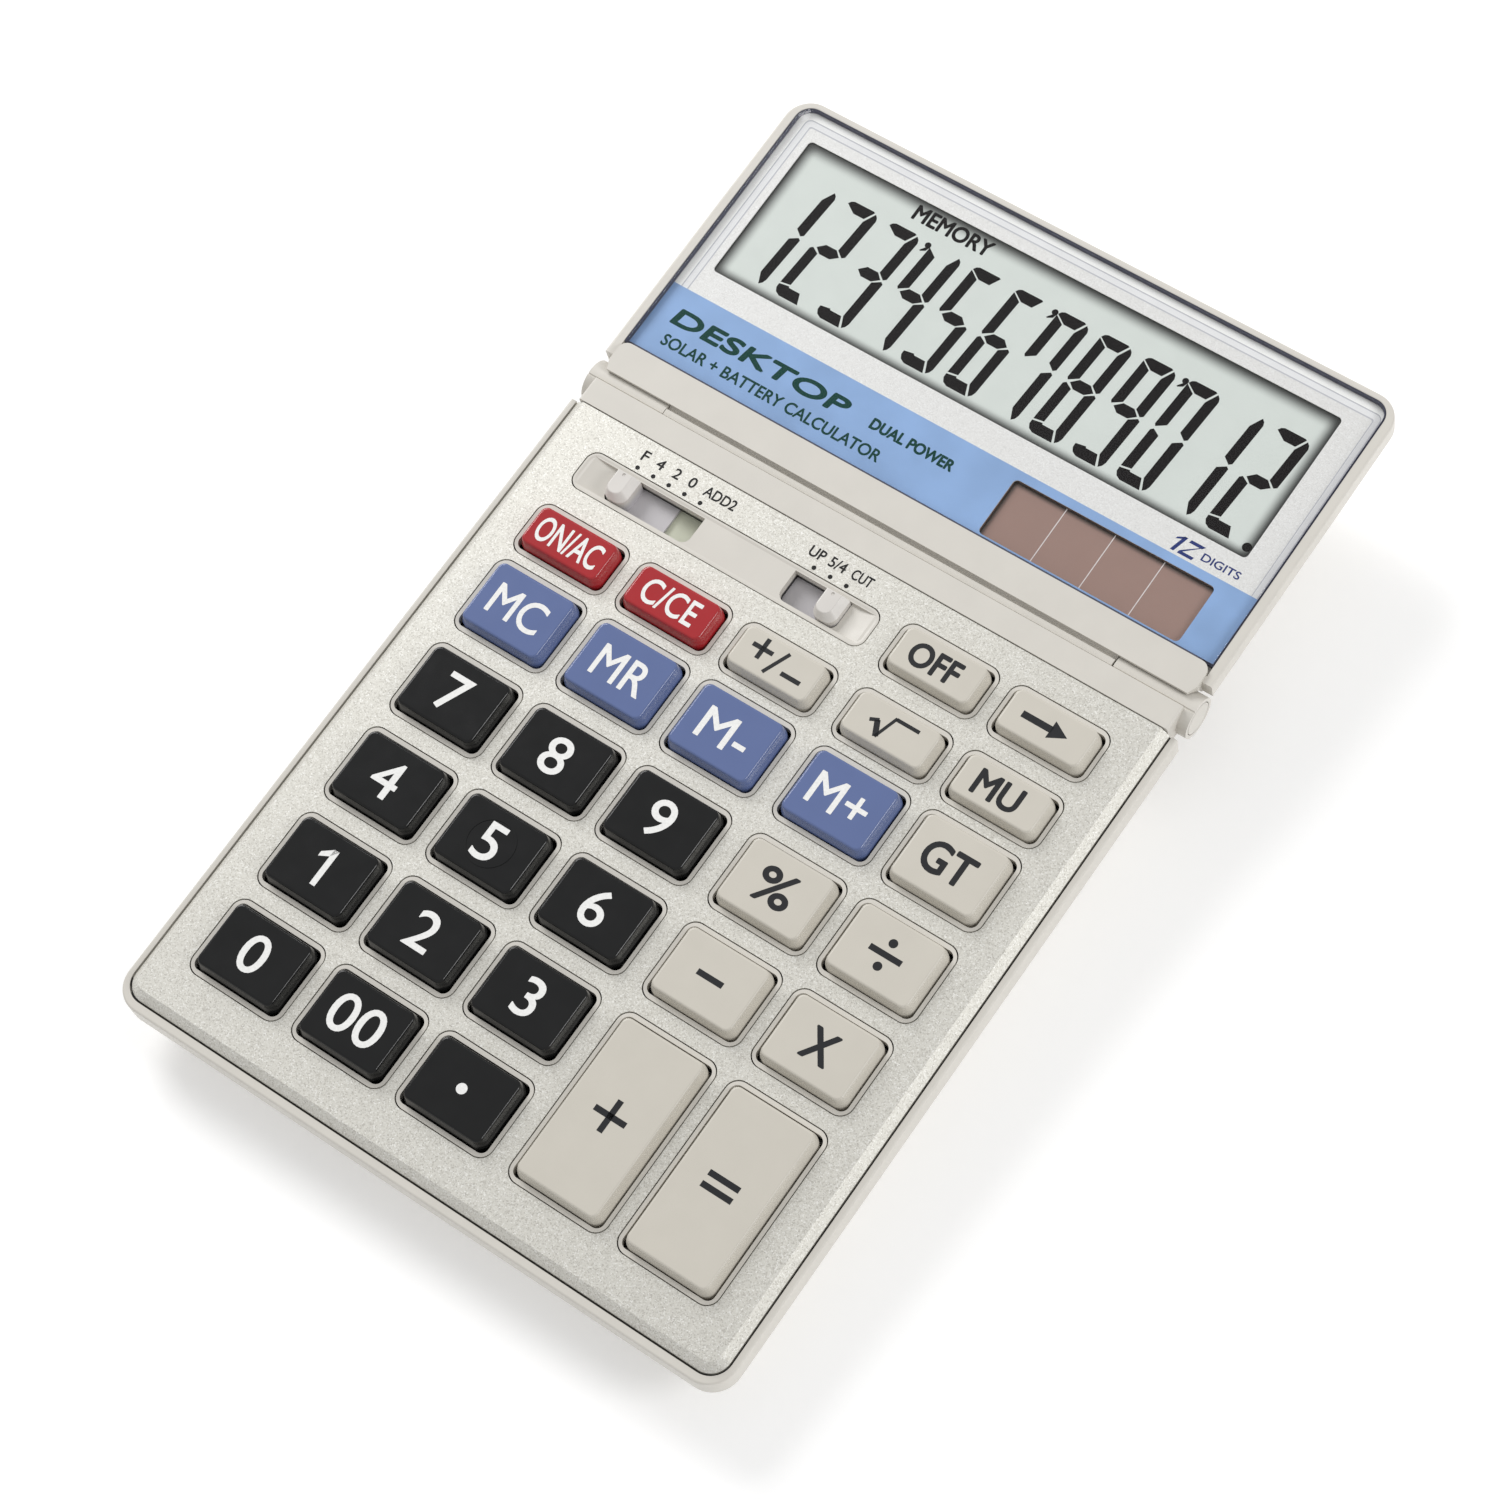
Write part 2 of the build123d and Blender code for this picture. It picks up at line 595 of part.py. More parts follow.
with BuildPart() as head_case:
    # the tray with its rim, and the pocket for the lens
    with BuildSketch(head.offset(wall_low)):
        tongue(case_width / 2, head_front_edge, head_length, head_corner)
    extrude(amount=head_wall_height)
    tray_top = head_case.faces().sort_by(up_head)[-1]
    fillet(tray_top.edges().sort_by(back_head)[1:], 0.35)
    with BuildSketch(head.offset(mask_bottom)):
        tongue(pocket_half, head_bar_rear - bar_corner, pocket_rear, lens_corner + 0.3)
    extrude(amount=lens_thickness, mode=Mode.SUBTRACT)
    # the bar, with its front corners cut back
    with BuildSketch(head.offset(wall_low)) as head_bar_plan:
        with BuildLine():
            Polyline(
                (-bar_half_width, head_bar_rear),
                (bar_half_width, head_bar_rear),
                (bar_half_width, head_bar_front + 1.6),
                (bar_half_width - 0.7, head_bar_front),
                (0.7 - bar_half_width, head_bar_front),
                (-bar_half_width, head_bar_front + 1.6),
                close=True,
            )
        make_face()
        fillet(head_bar_plan.vertices().sort_by(Axis.Y)[-2:], bar_corner)
    extrude(amount=hinge_up - wall_low)
    # the barrel between the knuckles, and room for the knuckles at both ends
    for start, end in ((-case_width / 2 - 1, barrel_start), (barrel_end, case_width / 2 + 1)):
        with BuildSketch(head_side(start)):
            Circle(barrel_radius + 0.3)
        extrude(amount=end - start, mode=Mode.SUBTRACT)
    with BuildSketch(head_side(barrel_start)):
        Circle(barrel_radius)
    extrude(amount=barrel_end - barrel_start)
    groove_place = head_bar_front - 0.2
    with BuildSketch(head_side(barrel_start)):
        with Locations((groove_place, on_barrel(groove_place))):
            Circle(groove_radius)
        with Locations((line_place, on_barrel(line_place))):
            Circle(line_radius)
    extrude(amount=barrel_end - barrel_start, mode=Mode.SUBTRACT)
    for start, end in ((barrel_start, -pin_inner_x + 0.1), (pin_inner_x - 0.1, barrel_end)):
        with BuildSketch(head_side(start)):
            Circle(pin_radius + pin_clearance)
        extrude(amount=end - start, mode=Mode.SUBTRACT)
    # openings for the display glass and the solar cell, and posts for the screws
    with BuildSketch(head.offset(-head_post_bottom)):
        with Locations(*head_post_places):
            Circle(post_radius)
    extrude(amount=head_post_bottom + mask_bottom - 0.5)
    for window, margin in ((lcd_window, 1.0), (solar_window, 0.5)):
        with BuildSketch(head.offset(wall_low)):
            span(
                window[0] - margin - fit_gap,
                window[1] + margin + fit_gap,
                window[2] - margin - fit_gap,
                window[3] + margin + fit_gap,
            )
        extrude(amount=head_wall_height, mode=Mode.SUBTRACT)
    with BuildSketch(head.offset(-head_post_bottom)):
        with Locations(*head_post_places):
            Circle(post_hole)
    extrude(amount=2.6, mode=Mode.SUBTRACT)
finish(head_case, "head_case")

with BuildPart() as lens:
    with BuildSketch(head.offset(lens_bottom + 0.02)):
        tongue(lens_half_width, lens_front, lens_rear, lens_corner)
    extrude(amount=lens_thickness - 0.02)
    lens_face = lens.faces().sort_by(up_head)[-1]
    bevelled = lens_face.edges().sort_by(back_head)[1:]
    chamfer(bevelled, lens_bevel_width, lens_bevel_drop, reference=lens_face)
    bevel_foot = lens_top - lens_bevel_drop
    lens_edges = lens.edges().filter_by_position(up_head, bevel_foot - 0.01, bevel_foot + 0.01)
    fillet(lens_edges, 0.12)
finish(lens, "lens")

with BuildPart() as print_mask:
    with BuildSketch(head.offset(mask_bottom + 0.01)):
        tongue(lens_half_width, lens_front, lens_rear, lens_corner)
        span(lcd_window[0], lcd_window[1], lcd_window[2], lcd_window[3], 0.75, mode=Mode.SUBTRACT)
        span(solar_window[0], solar_window[1], solar_window[2], solar_window[3], 0.8, mode=Mode.SUBTRACT)
    extrude(amount=mask_thickness - 0.01)
finish(print_mask, "print_mask")

glass_top = mask_bottom - 0.05
glass_thickness = 1.9

with BuildPart() as lcd_glass:
    with BuildSketch(head.offset(glass_top - glass_thickness)):
        span(lcd_window[0] - 1, lcd_window[1] + 1, lcd_window[2] - 1, lcd_window[3] + 1)
    extrude(amount=glass_thickness)
finish(lcd_glass, "lcd_glass")

with BuildPart() as display_board:
    with BuildSketch(head.offset(glass_top - glass_thickness - 0.85)):
        span(-46.0, 46.0, 23.6, 51.0)
    extrude(amount=0.8)
finish(display_board, "display_board")

cell_top = glass_top - 0.5
cell_thickness = 1.2

with BuildPart() as solar_cell:
    with BuildSketch(head.offset(cell_top - cell_thickness)):
        span(solar_window[0] - 0.5, solar_window[1] + 0.5, solar_window[2] - 0.5, solar_window[3] + 0.5)
    extrude(amount=cell_thickness)
finish(solar_cell, "solar_cell")

back_top = wall_low - 0.05
back_upper = (53.6, 4.6, 55.8)  # half width, front and rear at its top
back_lower = (50.6, 6.6, 53.4)  # the same at its bottom

with BuildPart() as head_back:
    with BuildSketch(head.offset(back_top)):
        span(-back_upper[0], back_upper[0], back_upper[1], back_upper[2], 3.4)
    with BuildSketch(head.offset(-head_back_depth)):
        span(-back_lower[0], back_lower[0], back_lower[1], back_lower[2], 3.4)
    loft(ruled=True)
    with BuildSketch(head.offset(back_top + 0.01)):
        span(-back_upper[0] + 1.4, back_upper[0] - 1.4, back_upper[1] + 1.4, back_upper[2] - 1.4, 2.0)
    with BuildSketch(head.offset(-head_back_depth + 1.4)):
        span(-back_lower[0] + 1.4, back_lower[0] - 1.4, back_lower[1] + 1.4, back_lower[2] - 1.4, 2.0)
    loft(ruled=True, mode=Mode.SUBTRACT)
    with BuildSketch(head.offset(-head_back_depth + 0.6)):
        with Locations(*head_post_places):
            Circle(post_radius)
    extrude(amount=head_back_depth - 0.6 - head_post_bottom - 0.05)
    with BuildSketch(head.offset(-head_back_depth)):
        with Locations(*head_post_places):
            Circle(post_hole)
    extrude(amount=head_back_depth - head_post_bottom, mode=Mode.SUBTRACT)
    with BuildSketch(head.offset(-head_back_depth)):
        with Locations(*head_post_places):
            Circle(1.4)
    extrude(amount=0.85, taper=43, mode=Mode.SUBTRACT)
    back_face = head_back.faces().sort_by(up_head)[0]
    fillet(back_face.outer_wire().edges(), 0.8)
finish(head_back, "head_back")

with BuildPart() as head_screws:
    for x, along in head_post_places:
        screw(head, x, along, 0.2, -head_back_depth + 0.1, 0.55, 1.3)
finish(head_screws, "head_screws")
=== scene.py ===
import json
import math

import bmesh
import bpy
from mathutils import Matrix, Vector


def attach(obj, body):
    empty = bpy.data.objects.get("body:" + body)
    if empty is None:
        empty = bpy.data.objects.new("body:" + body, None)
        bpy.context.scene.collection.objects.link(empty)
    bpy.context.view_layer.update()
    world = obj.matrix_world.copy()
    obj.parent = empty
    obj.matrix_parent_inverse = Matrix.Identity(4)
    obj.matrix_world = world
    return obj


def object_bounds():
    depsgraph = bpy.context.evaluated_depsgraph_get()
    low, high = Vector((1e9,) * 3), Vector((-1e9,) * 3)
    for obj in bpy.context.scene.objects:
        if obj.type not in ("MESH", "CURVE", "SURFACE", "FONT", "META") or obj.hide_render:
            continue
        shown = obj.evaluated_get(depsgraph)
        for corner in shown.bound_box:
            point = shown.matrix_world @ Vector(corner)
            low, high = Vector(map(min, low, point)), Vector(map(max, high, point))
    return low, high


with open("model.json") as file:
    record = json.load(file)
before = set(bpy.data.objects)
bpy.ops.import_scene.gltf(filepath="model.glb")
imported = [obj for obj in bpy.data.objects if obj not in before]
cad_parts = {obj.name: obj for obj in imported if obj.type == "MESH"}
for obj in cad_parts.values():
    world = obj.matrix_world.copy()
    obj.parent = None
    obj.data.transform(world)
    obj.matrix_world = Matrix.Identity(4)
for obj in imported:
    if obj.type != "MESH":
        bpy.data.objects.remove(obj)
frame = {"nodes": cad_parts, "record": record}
cad_box = [list(corner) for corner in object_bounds()]
nodes = frame["nodes"]
joints = {joint["name"]: joint for joint in frame["record"]["behaviour"]["joints"]}

MM = 0.001

# ---------------------------------------------------------------- planes
# deck is the top of the face plate and head is parallel to the display, through the hinge axis.
# Both matrices take millimetres: x to the right, y back along the plane, z up from it.
deck_up = Vector(joints["key_0_press"]["axis"]).normalized()
hinge_point = Vector(joints["display_hinge"]["pos_m"])
hinge_along = 120.45  # from the deck's origin back to the hinge axis
hinge_drop = 3.85  # from the deck down to the hinge axis
display_slope = 0.9  # degrees more than the deck


def plane_matrix(origin, up):
    """A matrix from a plane's own millimetres to the row frame."""
    right = Vector((1, 0, 0))
    back = up.cross(right)
    turn = Matrix((right, back, up)).transposed().to_4x4()
    return Matrix.Translation(origin) @ turn @ Matrix.Scale(MM, 4)


deck_back = deck_up.cross(Vector((1, 0, 0)))
deck_origin = hinge_point + deck_up * hinge_drop * MM - deck_back * hinge_along * MM
deck = plane_matrix(deck_origin, deck_up)
head_up = Matrix.Rotation(math.radians(display_slope), 3, "X") @ deck_up
head = plane_matrix(hinge_point, head_up)
deck_inverse = deck.inverted()
head_inverse = head.inverted()


top_skin = 0.02  # how far under its highest point a node's flat top reaches


def top_face(node, inverse):
    """The highest flat of a CAD node in a plane's millimetres: x low, x high, y low, y high, height."""
    points = [inverse @ vertex.co for vertex in nodes[node].data.vertices]
    height = max(point.z for point in points)
    top = [point for point in points if point.z > height - top_skin]
    xs = [point.x for point in top]
    ys = [point.y for point in top]
    return min(xs), max(xs), min(ys), max(ys), height


# ---------------------------------------------------------------- material building
def new_material(name):
    """An empty material with its output, Principled shader and object coordinates."""
    made = bpy.data.materials.new(name)
    made.use_nodes = True
    tree = made.node_tree
    shader = tree.nodes["Principled BSDF"]
    place = tree.nodes.new("ShaderNodeTexCoord").outputs["Object"]
    return made, tree, shader, place


def noise(tree, place, size_mm, detail=2.0, roughness=0.5):
    """A noise texture whose features are about size_mm across."""
    texture = tree.nodes.new("ShaderNodeTexNoise")
    texture.inputs["Scale"].default_value = 1.0 / (size_mm * MM)
    texture.inputs["Detail"].default_value = detail
    texture.inputs["Roughness"].default_value = roughness
    tree.links.new(place, texture.inputs["Vector"])
    return texture.outputs["Fac"]


def spread(tree, value, low, high, start=0.0, end=1.0):
    """Maps value from start..end to low..high."""
    node = tree.nodes.new("ShaderNodeMapRange")
    node.inputs["From Min"].default_value = start
    node.inputs["From Max"].default_value = end
    node.inputs["To Min"].default_value = low
    node.inputs["To Max"].default_value = high
    tree.links.new(value, node.inputs["Value"])
    return node.outputs["Result"]


def two_colours(tree, value, first, second, start=0.3, end=0.7):
    """A colour ramp from first to second as value goes from start to end."""
    ramp = tree.nodes.new("ShaderNodeValToRGB")
    ramp.color_ramp.elements[0].position = start
    ramp.color_ramp.elements[0].color = (*first, 1)
    ramp.color_ramp.elements[1].position = end
    ramp.color_ramp.elements[1].color = (*second, 1)
    tree.links.new(value, ramp.inputs["Fac"])
    return ramp.outputs["Color"]


def bump(tree, shader, value, height_mm, strength=1.0):
    """Feeds value to the shader's normal as a relief of height_mm."""
    node = tree.nodes.new("ShaderNodeBump")
    node.inputs["Strength"].default_value = strength
    node.inputs["Distance"].default_value = height_mm * MM
    tree.links.new(value, node.inputs["Height"])
    tree.links.new(node.outputs["Normal"], shader.inputs["Normal"])


def linear(red, green, blue):
    """Turns an 8-bit screen colour into linear values."""
    def one(value):
        value /= 255
        return value / 12.92 if value <= 0.04045 else ((value + 0.055) / 1.055) ** 2.4
    return one(red), one(green), one(blue)


def scaled(colour, factor):
    return tuple(min(1.0, part * factor) for part in colour)


# a mix node's sockets for colours, by number because its other types have sockets of the same names
mix_share = 0
mix_first = 6
mix_second = 7
mix_result = 2


def blend(tree, share, first, second):
    """A colour from first, where share is 0, to second, where it is 1. Each is a fixed colour or a socket."""
    node = tree.nodes.new("ShaderNodeMix")
    node.data_type = "RGBA"
    tree.links.new(share, node.inputs[mix_share])
    for colour, index in ((first, mix_first), (second, mix_second)):
        if isinstance(colour, tuple):
            node.inputs[index].default_value = (*colour, 1)
        else:
            tree.links.new(colour, node.inputs[index])
    return node.outputs[mix_result]


def times(tree, first, second):
    """The product of two values."""
    node = tree.nodes.new("ShaderNodeMath")
    node.operation = "MULTIPLY"
    tree.links.new(first, node.inputs[0])
    tree.links.new(second, node.inputs[1])
    return node.outputs["Value"]


def along_axis(tree, place, axis):
    """How far place lies along a direction."""
    node = tree.nodes.new("ShaderNodeVectorMath")
    node.operation = "DOT_PRODUCT"
    node.inputs[1].default_value = axis
    tree.links.new(place, node.inputs[0])
    return node.outputs["Value"]


def low_part(tree, place, tint, low_shade_colour):
    """Painted shade: blends tint into a darker colour below the deck, where the slides lie shaded in their
    slots.
    """
    fade_depth = 0.4
    low_depth = 1.6
    level = deck_origin.dot(deck_up)
    up = along_axis(tree, place, deck_up)
    share = spread(tree, up, 0.0, 1.0, level - low_depth * MM, level - fade_depth * MM)
    return blend(tree, share, low_shade_colour, tint)


def dark_under_plate(tree, place, tint, dark):
    """Blends tint into dark well under the face plate and inside its outline: painted shade in the gaps."""
    low_x, high_x, low_y, high_y, _ = top_face("face_plate", deck_inverse)
    # how far the shade reaches past the plate's flat top
    room = 1.55
    rear_room = 0.1
    corner_room = 1.15
    edge = 0.04
    fade_depth = 1.4
    dark_depth = 1.7
    level = deck_origin.dot(deck_up)
    start = deck_origin.dot(deck_back)
    up = along_axis(tree, place, deck_up)
    back = along_axis(tree, place, deck_back)
    side = along_axis(tree, place, (1, 0, 0))
    inside = spread(tree, up, 1.0, 0.0, level - dark_depth * MM, level - fade_depth * MM)
    ranges = (
        (side, (low_x - room) * MM, (high_x + room) * MM),
        (back, start + (low_y - room) * MM, start + (high_y + rear_room) * MM),
    )
    for value, low, high in ranges:
        inside = times(tree, inside, spread(tree, value, 0.0, 1.0, low, low + edge * MM))
        inside = times(tree, inside, spread(tree, value, 1.0, 0.0, high - edge * MM, high))
    for sign in (1, -1):
        corner = along_axis(tree, place, Vector((sign, 0, 0)) - deck_back)
        limit = (high_x - low_y + corner_room) * MM - start
        inside = times(tree, inside, spread(tree, corner, 1.0, 0.0, limit - edge * MM, limit))
    return blend(tree, inside, tint, dark)


def plastic(
    name,
    colour,
    roughness,
    grain_mm=0.12,
    relief_mm=0.004,
    variation=0.04,
    gloss=0.5,
    low_shade_colour=None,
    gap_shade_colour=None,
):
    """Moulded plastic: a fine grain, a little mottling and a roughness that wanders.

    low_shade_colour, if given, is painted shade: the colour of whatever lies more than about a millimetre
    under the deck, down in the slots.
    gap_shade_colour, if given, is painted shade: the colour deep in the gaps round and under the face plate.
    """
    made, tree, shader, place = new_material(name)
    mottle = noise(tree, place, size_mm=6.0, detail=4.0)
    tint = two_colours(tree, mottle, scaled(colour, 1 - variation), scaled(colour, 1 + variation))
    if low_shade_colour:
        tint = low_part(tree, place, tint, low_shade_colour)
    if gap_shade_colour:
        tint = dark_under_plate(tree, place, tint, gap_shade_colour)
    tree.links.new(tint, shader.inputs["Base Color"])
    smudge = noise(tree, place, size_mm=3.5, detail=5.0)
    smudged = spread(tree, smudge, roughness * 0.85, roughness * 1.15, start=0.3, end=0.7)
    tree.links.new(smudged, shader.inputs["Roughness"])
    bump(tree, shader, noise(tree, place, grain_mm, detail=2.0), relief_mm)
    shader.inputs["Specular IOR Level"].default_value = gloss
    return made


def sparkle_paint(name, base, flake, dark, metallic=0.45, roughness=0.4, relief_mm=0.004):
    """Silver paint: tiny flakes, each with its own tint and roughness, over a fine grain."""
    flake_mm = 0.17
    made, tree, shader, place = new_material(name)
    cells = tree.nodes.new("ShaderNodeTexVoronoi")
    cells.inputs["Scale"].default_value = 1 / (flake_mm * MM)
    tree.links.new(place, cells.inputs["Vector"])
    parts = tree.nodes.new("ShaderNodeSeparateColor")
    tree.links.new(cells.outputs["Color"], parts.inputs["Color"])
    ramp = tree.nodes.new("ShaderNodeValToRGB")
    elements = ramp.color_ramp.elements
    elements[0].color = (*dark, 1)
    elements[1].color = (*flake, 1)
    for position in (0.35, 0.8):
        elements.new(position).color = (*base, 1)
    tree.links.new(parts.outputs["Red"], ramp.inputs["Fac"])
    tree.links.new(ramp.outputs["Color"], shader.inputs["Base Color"])
    uneven = spread(tree, parts.outputs["Green"], roughness * 0.8, roughness * 1.25)
    tree.links.new(uneven, shader.inputs["Roughness"])
    shader.inputs["Metallic"].default_value = metallic
    bump(tree, shader, noise(tree, place, size_mm=0.13, detail=3.0, roughness=0.6), relief_mm)
    return made


def print_ink(name, colour, roughness=0.4, gloss=0.3, patch_mm=0.3, variation=0.07):
    """Screen-printed ink: nearly even, with a slightly broken surface."""
    made, tree, shader, place = new_material(name)
    grain = noise(tree, place, patch_mm, detail=3.0)
    tint = two_colours(tree, grain, scaled(colour, 1 - variation), scaled(colour, 1 + variation))
    shader.inputs["Specular IOR Level"].default_value = gloss
    tree.links.new(tint, shader.inputs["Base Color"])
    tree.links.new(spread(tree, grain, roughness * 0.9, roughness * 1.1), shader.inputs["Roughness"])
    bump(tree, shader, grain, 0.003)
    return made


def metal(name, colour, roughness):
    """Plated metal with fine drawing marks."""
    made, tree, shader, place = new_material(name)
    stretch = tree.nodes.new("ShaderNodeMapping")
    stretch.inputs["Scale"].default_value = (0.1, 1.0, 1.0)
    tree.links.new(place, stretch.inputs["Vector"])
    marks = noise(tree, stretch.outputs["Vector"], size_mm=0.12, detail=3.0)
    tint = two_colours(tree, marks, scaled(colour, 0.85), scaled(colour, 1.1))
    tree.links.new(tint, shader.inputs["Base Color"])
    tree.links.new(spread(tree, marks, roughness * 0.7, roughness * 1.3), shader.inputs["Roughness"])
    shader.inputs["Metallic"].default_value = 1.0
    bump(tree, shader, marks, 0.004)
    return made


def clear_lens(name):
    """A clear panel that lets the print below show: transparent, with a reflection that grows at a slant."""
    made, tree, shader, place = new_material(name)
    tree.nodes.remove(shader)
    see_through = tree.nodes.new("ShaderNodeBsdfTransparent")
    see_through.inputs["Color"].default_value = (0.99, 0.992, 0.99, 1)
    gloss = tree.nodes.new("ShaderNodeBsdfGlossy")
    gloss.inputs["Color"].default_value = (1, 1, 1, 1)
    smudge = noise(tree, place, size_mm=9.0, detail=6.0)
    tree.links.new(spread(tree, smudge, 0.03, 0.09, start=0.35, end=0.7), gloss.inputs["Roughness"])
    fresnel = tree.nodes.new("ShaderNodeFresnel")
    fresnel.inputs["IOR"].default_value = 1.36
    outside = tree.nodes.new("ShaderNodeMath")
    outside.operation = "SUBTRACT"
    outside.inputs[0].default_value = 1.0
    tree.links.new(tree.nodes.new("ShaderNodeNewGeometry").outputs["Backfacing"], outside.inputs[1])
    share = times(tree, fresnel.outputs["Fac"], outside.outputs["Value"])
    mix = tree.nodes.new("ShaderNodeMixShader")
    tree.links.new(share, mix.inputs["Fac"])
    tree.links.new(see_through.outputs["BSDF"], mix.inputs[1])
    tree.links.new(gloss.outputs["BSDF"], mix.inputs[2])
    output = tree.nodes["Material Output"]
    tree.links.new(mix.outputs["Shader"], output.inputs["Surface"])
    return made


# ---------------------------------------------------------------- materials
case_colour = linear(213, 209, 201)
case_plastic = plastic("case_plastic", case_colour, 0.42, variation=0.02)
# painted shade: near-black deep in the gaps round the keys and the face plate
gap_shade = linear(14, 13, 13)
upper_plastic = plastic("upper_case_plastic", case_colour, 0.42, variation=0.02, gap_shade_colour=gap_shade)
# the knobs' slides turn darker below the deck: painted shade in their slots
knob_plastic = plastic("knob_plastic", linear(217, 213, 208), 0.33, low_shade_colour=linear(198, 195, 198))
plate_paint = sparkle_paint(
    "plate_paint", base=linear(218, 216, 208), flake=linear(240, 239, 234), dark=linear(190, 187, 179)
)
black_plastic = plastic("black_plastic", linear(12, 13, 14), 0.2, grain_mm=0.1, relief_mm=0.002, gloss=0.4)
grey_plastic = plastic("grey_key_plastic", linear(206, 201, 190), 0.36, variation=0.015)
blue_plastic = plastic("blue_key_plastic", linear(96, 112, 158), 0.2, relief_mm=0.0012, variation=0.025)
red_plastic = plastic("red_key_plastic", linear(170, 38, 44), 0.18, relief_mm=0.0012, variation=0.025)
rubber = plastic("rubber", linear(42, 42, 43), 0.7, grain_mm=0.3, relief_mm=0.02)
mat_rubber = plastic("mat_rubber", linear(120, 122, 125), 0.6)
board_green = plastic("board_green", linear(62, 104, 58), 0.4)
chip_resin = plastic("chip_resin", linear(24, 24, 25), 0.25)
switch_green = plastic("switch_green", linear(222, 225, 204), 0.45)
steel = metal("plated_steel", (0.62, 0.62, 0.61), 0.3)
brass = metal("spring_brass", (0.78, 0.6, 0.32), 0.3)
lens_clear = clear_lens("lens_clear")
mask_silver = sparkle_paint(
    "mask_silver",
    base=linear(231, 230, 229),
    flake=linear(241, 241, 241),
    dark=linear(220, 219, 218),
    metallic=0.1,
    relief_mm=0.002,
)
lcd_edge = plastic("lcd_edge", linear(120, 126, 120), 0.3)
solar_base = plastic("solar_base", linear(120, 96, 88), 0.25)
white_ink = print_ink("white_ink", linear(240, 240, 238))
dark_ink = print_ink("dark_ink", linear(34, 35, 38))
black_ink = print_ink("black_ink", linear(16, 15, 16))
green_ink = print_ink("green_ink", linear(0, 62, 54), gloss=0.1)
blue_ink = print_ink("blue_ink", linear(24, 46, 116))
band_ink = print_ink("band_ink", linear(143, 175, 220), patch_mm=9.0, variation=0.08)
segment_ink = print_ink("segment_ink", linear(12, 7, 9), gloss=0.1)
# painted highlight and painted shade round the lens's edge, printed on the mask
painted_edge_highlight = print_ink("painted_edge_highlight", linear(253, 253, 252), patch_mm=4.0, variation=0.01)
painted_step_highlight = print_ink("painted_step_highlight", linear(236, 236, 238), patch_mm=4.0, variation=0.02)
painted_step_shade = print_ink("painted_step_shade", linear(196, 197, 203), patch_mm=4.0, variation=0.02)
# painted shade: the dark colour of the seal in the gaps round the lens
dark_seal_shade = plastic("dark_seal_shade", linear(78, 80, 96), 0.5, gloss=0.2)

slot_materials = {
    "case": case_plastic,
    "face_plate": plate_paint,
    "black_key": black_plastic,
    "grey_key": grey_plastic,
    "blue_key": blue_plastic,
    "red_key": red_plastic,
    "rubber": rubber,
    "key_mat": mat_rubber,
    "steel": steel,
    "contact": brass,
    "board": board_green,
    "chip": chip_resin,
    "switch_base": switch_green,
    "lens": lens_clear,
    "mask": mask_silver,
    "lcd": lcd_edge,
    "solar": solar_base,
}
slot_of = {part["node"]: part["material_slot"] for part in frame["record"]["subparts"]}


def paint(node, made):
    """Gives every material slot of a CAD node the same material."""
    data = nodes[node].data
    if not data.materials:
        data.materials.append(made)
    for index in range(len(data.materials)):
        data.materials[index] = made


for node in nodes:
    paint(node, slot_materials[slot_of[node]])
for node in ("decimal_knob", "rounding_knob"):
    paint(node, knob_plastic)
paint("upper_case", upper_plastic)


# ---------------------------------------------------------------- mesh building
def add_piece(name, body, material, polygons, matrix):
    """A flat or solid piece from polygons in a plane's millimetres. Each polygon is a list of points."""
    mesh = bmesh.new()
    for polygon in polygons:
        mesh.faces.new([mesh.verts.new(matrix @ Vector(point)) for point in polygon])
    data = bpy.data.meshes.new(name)
    mesh.to_mesh(data)
    mesh.free()
    return add_object(name, body, material, data)


def add_object(name, body, material, data):
    """A piece from a ready mesh, in one material."""
    piece = bpy.data.objects.new(name, data)
    bpy.context.scene.collection.objects.link(piece)
    data.materials.clear()
    data.materials.append(material)
    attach(piece, body)
    return piece


def letter_mesh(text):
    """The outline of a text as a flat mesh, in the font's own units."""
    curve = bpy.data.curves.new("letters", "FONT")
    curve.body = text
    curve.resolution_u = 6
    holder = bpy.data.objects.new("letters", curve)
    bpy.context.scene.collection.objects.link(holder)
    bpy.context.view_layer.update()
    data = bpy.data.meshes.new_from_object(holder)
    bpy.data.objects.remove(holder)
    bpy.data.curves.remove(curve)
    return data


def rectangle(low_x, high_x, low_y, high_y):
    return [(low_x, low_y), (high_x, low_y), (high_x, high_y), (low_x, high_y)]


def disc(x, y, radius, steps=24):
    """A many-sided outline round x, y."""
    angles = [math.tau * i / steps for i in range(steps)]
    return [(x + radius * math.cos(angle), y + radius * math.sin(angle)) for angle in angles]


def moved(shapes, x, y):
    """Shapes that are given round the origin, moved to x, y."""
    return [[(x + point_x, y + point_y) for point_x, point_y in shape] for shape in shapes]


def leaned(shapes, lean):
    """Shapes with each point shifted to the right by lean times its height in the shape."""
    return [[(x + lean * y, y) for x, y in shape] for shape in shapes]


def at_height(shapes, height):
    """Flat shapes as polygons at one height over their plane."""
    return [[(x, y, height) for x, y in shape] for shape in shapes]


letter_widening = 1.08  # for words that keep the font's own width
copy_lift = 0.0006  # between the shifted copies of a bolder word


